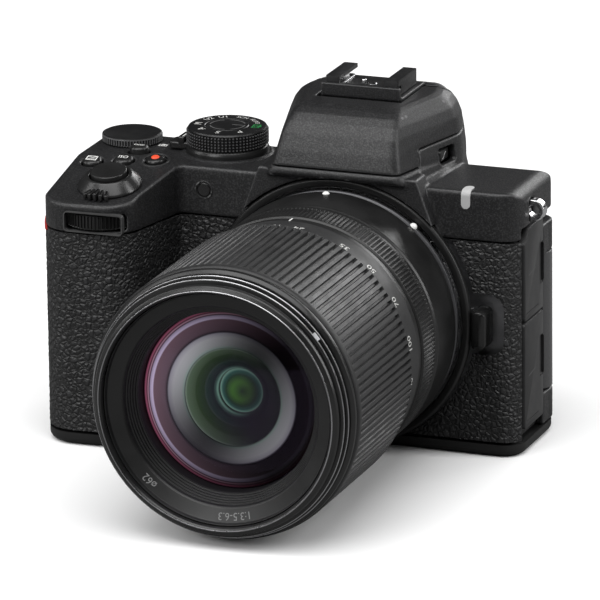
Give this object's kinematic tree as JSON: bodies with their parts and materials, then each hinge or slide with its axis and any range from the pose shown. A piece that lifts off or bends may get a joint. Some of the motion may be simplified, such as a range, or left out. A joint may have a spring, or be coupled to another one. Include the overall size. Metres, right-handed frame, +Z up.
{
  "type": "mirrorless camera with zoom lens",
  "caption": "Compact interchangeable-lens camera body with a deep grip, viewfinder hump, pop-up flash and side-hinged screen, fitted with a zoom lens.",
  "frame": {"origin": "on the base plane, under the lens axis, in line with the image plane", "axes": "+X right seen from the front, +Y towards the back, +Z up; the lens points along -Y"},
  "size_m": [0.1338, 0.1345, 0.0968],
  "materials": {
    "black_paint": "satin",
    "leatherette": "matte",
    "black_plastic": "satin",
    "black_rubber": "matte",
    "alloy": "satin",
    "chrome": "polished",
    "glass": "clear",
    "circuit": "satin"
  },
  "bodies": {
    "camera_body": {"front_cover": "black_paint", "top_cover": "black_paint", "rear_cover": "black_paint", "bottom_cover": "black_plastic", "grip_leatherette": "leatherette", "front_leatherette": "leatherette", "chassis_frame": "alloy", "body_mount_ring": "chrome", "shutter_frame": "black_plastic", "sensor_unit": "circuit", "main_board": "circuit", "battery": "black_plastic", "memory_card": "black_plastic", "evf_housing": "black_plastic", "evf_module": "black_plastic", "eyepiece_lens": "glass", "eyecup": "black_rubber", "hot_shoe": "alloy", "strap_lug_left": "chrome", "strap_lug_right": "chrome", "lens_mount_plate": "chrome", "lens_rear_barrel": "black_plastic", "lens_guide_tube": "alloy", "aperture_unit": "black_plastic", "rear_glass": "glass"},
    "mode_dial": {"mode_dial": "black_plastic"},
    "rear_dial": {"rear_dial": "black_plastic"},
    "front_dial": {"front_dial": "black_plastic"},
    "control_ring": {"control_ring": "black_plastic"},
    "photo_video_lever": {"photo_video_lever": "black_plastic"},
    "power_switch": {"power_switch": "black_plastic"},
    "shutter_button": {"shutter_button": "black_plastic"},
    "exposure_button": {"exposure_button": "black_plastic"},
    "iso_button": {"iso_button": "black_plastic"},
    "record_button": {"record_button": "black_plastic"},
    "picture_button": {"picture_button": "black_plastic"},
    "playback_button": {"playback_button": "black_plastic"},
    "delete_button": {"delete_button": "black_plastic"},
    "menu_button": {"menu_button": "black_plastic"},
    "info_button": {"info_button": "black_plastic"},
    "multi_selector": {"multi_selector": "black_plastic"},
    "function_button_1": {"function_button_1": "black_plastic"},
    "function_button_2": {"function_button_2": "black_plastic"},
    "flash_button": {"flash_button": "black_plastic"},
    "lens_release_button": {"lens_release_button": "black_plastic"},
    "flash": {"flash_cap": "black_paint", "flash_window": "glass"},
    "shutter_curtain": {"shutter_curtain": "black_plastic"},
    "battery_door": {"battery_door": "black_plastic"},
    "battery_latch": {"battery_latch": "black_plastic"},
    "port_door_upper": {"port_door_upper": "black_rubber"},
    "port_door_lower": {"port_door_lower": "black_rubber"},
    "screen": {"screen_hinge": "black_paint", "screen_panel": "black_plastic"},
    "zoom_ring": {"zoom_ring": "black_rubber"},
    "front_barrel": {"front_barrel": "black_plastic", "filter_ring": "black_plastic", "front_glass": "glass"},
    "zoom_group": {"zoom_group": "glass"},
    "focus_group": {"focus_group": "glass"}
  },
  "joints": [
    {"name": "mode_dial_turn", "type": "hinge", "parent": "camera_body", "child": "mode_dial", "pos_m": [-0.0388, 0.0042, 0.078], "axis": [0, 0, 1], "continuous": true},
    {"name": "rear_dial_turn", "type": "hinge", "parent": "camera_body", "child": "rear_dial", "pos_m": [-0.0673, 0.0064, 0.074], "axis": [0, 0, 1], "continuous": true},
    {"name": "front_dial_turn", "type": "hinge", "parent": "camera_body", "child": "front_dial", "pos_m": [-0.0622, -0.0285, 0.0626], "axis": [0, 0, 1], "continuous": true},
    {"name": "control_ring_turn", "type": "hinge", "parent": "camera_body", "child": "control_ring", "pos_m": [0, -0.041, 0.0374], "axis": [0, -1, 0], "continuous": true},
    {"name": "photo_video_select", "type": "hinge", "parent": "camera_body", "child": "photo_video_lever", "pos_m": [-0.0388, 0.0042, 0.0745], "axis": [0, 0, 1], "range_deg": [0, 20]},
    {"name": "power_switch_turn", "type": "hinge", "parent": "camera_body", "child": "power_switch", "pos_m": [-0.061, -0.0255, 0.0697], "axis": [0, -0.1961, 0.9806], "range_deg": [0, 32]},
    {"name": "shutter_button_press", "type": "slide", "parent": "camera_body", "child": "shutter_button", "axis": [0, 0.1961, -0.9806], "range_m": [0, 0.0012], "stiffness_N_per_m": 300},
    {"name": "exposure_button_press", "type": "slide", "parent": "camera_body", "child": "exposure_button", "axis": [0, 0.1961, -0.9806], "range_m": [0, 0.0006], "stiffness_N_per_m": 250},
    {"name": "iso_button_press", "type": "slide", "parent": "camera_body", "child": "iso_button", "axis": [0, 0.1961, -0.9806], "range_m": [0, 0.0006], "stiffness_N_per_m": 250},
    {"name": "record_button_press", "type": "slide", "parent": "camera_body", "child": "record_button", "axis": [0, 0.1961, -0.9806], "range_m": [0, 0.0006], "stiffness_N_per_m": 250},
    {"name": "picture_button_press", "type": "slide", "parent": "camera_body", "child": "picture_button", "axis": [0, 0, -1], "range_m": [0, 0.0006], "stiffness_N_per_m": 250},
    {"name": "playback_button_press", "type": "slide", "parent": "camera_body", "child": "playback_button", "axis": [0, -1, 0], "range_m": [0, 0.0005], "stiffness_N_per_m": 250},
    {"name": "delete_button_press", "type": "slide", "parent": "camera_body", "child": "delete_button", "axis": [0, -1, 0], "range_m": [0, 0.0005], "stiffness_N_per_m": 250},
    {"name": "menu_button_press", "type": "slide", "parent": "camera_body", "child": "menu_button", "axis": [0, -1, 0], "range_m": [0, 0.0005], "stiffness_N_per_m": 250},
    {"name": "info_button_press", "type": "slide", "parent": "camera_body", "child": "info_button", "axis": [0, -1, 0], "range_m": [0, 0.0005], "stiffness_N_per_m": 250},
    {"name": "multi_selector_press", "type": "slide", "parent": "camera_body", "child": "multi_selector", "axis": [0, -1, 0], "range_m": [0, 0.0005], "stiffness_N_per_m": 400},
    {"name": "function_button_1_press", "type": "slide", "parent": "camera_body", "child": "function_button_1", "axis": [0, 1, 0], "range_m": [0, 0.0005], "stiffness_N_per_m": 250},
    {"name": "function_button_2_press", "type": "slide", "parent": "camera_body", "child": "function_button_2", "axis": [0, 1, 0], "range_m": [0, 0.0005], "stiffness_N_per_m": 250},
    {"name": "flash_button_press", "type": "slide", "parent": "camera_body", "child": "flash_button", "axis": [-1, 0, 0], "range_m": [0, 0.0005], "stiffness_N_per_m": 250},
    {"name": "lens_release_button_press", "type": "slide", "parent": "camera_body", "child": "lens_release_button", "axis": [0, 1, 0], "range_m": [0, 0.0009], "stiffness_N_per_m": 400},
    {"name": "flash_lift", "type": "hinge", "parent": "camera_body", "child": "flash", "pos_m": [0, 0.0175, 0.0885], "axis": [-1, 0, 0], "range_deg": [0, 50]},
    {"name": "curtain_drop", "type": "slide", "parent": "camera_body", "child": "shutter_curtain", "axis": [0, 0, -1], "range_m": [0, 0.0172]},
    {"name": "battery_door_open", "type": "hinge", "parent": "camera_body", "child": "battery_door", "pos_m": [-0.0535, -0.0177, 0.0012], "axis": [0, -1, 0], "range_deg": [0, 95]},
    {"name": "battery_latch_slide", "type": "slide", "parent": "battery_door", "child": "battery_latch", "axis": [1, 0, 0], "range_m": [0, 0.002]},
    {"name": "port_door_upper_open", "type": "hinge", "parent": "camera_body", "child": "port_door_upper", "pos_m": [0.0493, -0.0079, 0.0458], "axis": [0, 0, -1], "range_deg": [0, 100]},
    {"name": "port_door_lower_open", "type": "hinge", "parent": "camera_body", "child": "port_door_lower", "pos_m": [0.0493, -0.0079, 0.0219], "axis": [0, 0, -1], "range_deg": [0, 100]},
    {"name": "screen_swing", "type": "hinge", "parent": "camera_body", "child": "screen", "pos_m": [0.0443, 0.0142, 0.034], "axis": [0, 0, -1], "range_deg": [0, 180]},
    {"name": "zoom_turn", "type": "hinge", "parent": "camera_body", "child": "zoom_ring", "pos_m": [0, -0.075, 0.0374], "axis": [0, -1, 0], "range_deg": [0, 103]},
    {"name": "front_barrel_extend", "type": "slide", "parent": "camera_body", "child": "front_barrel", "axis": [0, -1, 0], "range_m": [0, 0.0451]},
    {"name": "zoom_group_travel", "type": "slide", "parent": "camera_body", "child": "zoom_group", "axis": [0, -1, 0], "range_m": [0, 0.0151]},
    {"name": "focus_travel", "type": "slide", "parent": "camera_body", "child": "focus_group", "axis": [0, -1, 0], "range_m": [0, 0.0035]}
  ],
  "couplings": [
    {"joint": "front_barrel_extend", "follows": "zoom_turn", "m_per_rad": 0.025032},
    {"joint": "zoom_group_travel", "follows": "zoom_turn", "m_per_rad": 0.008344}
  ]
}
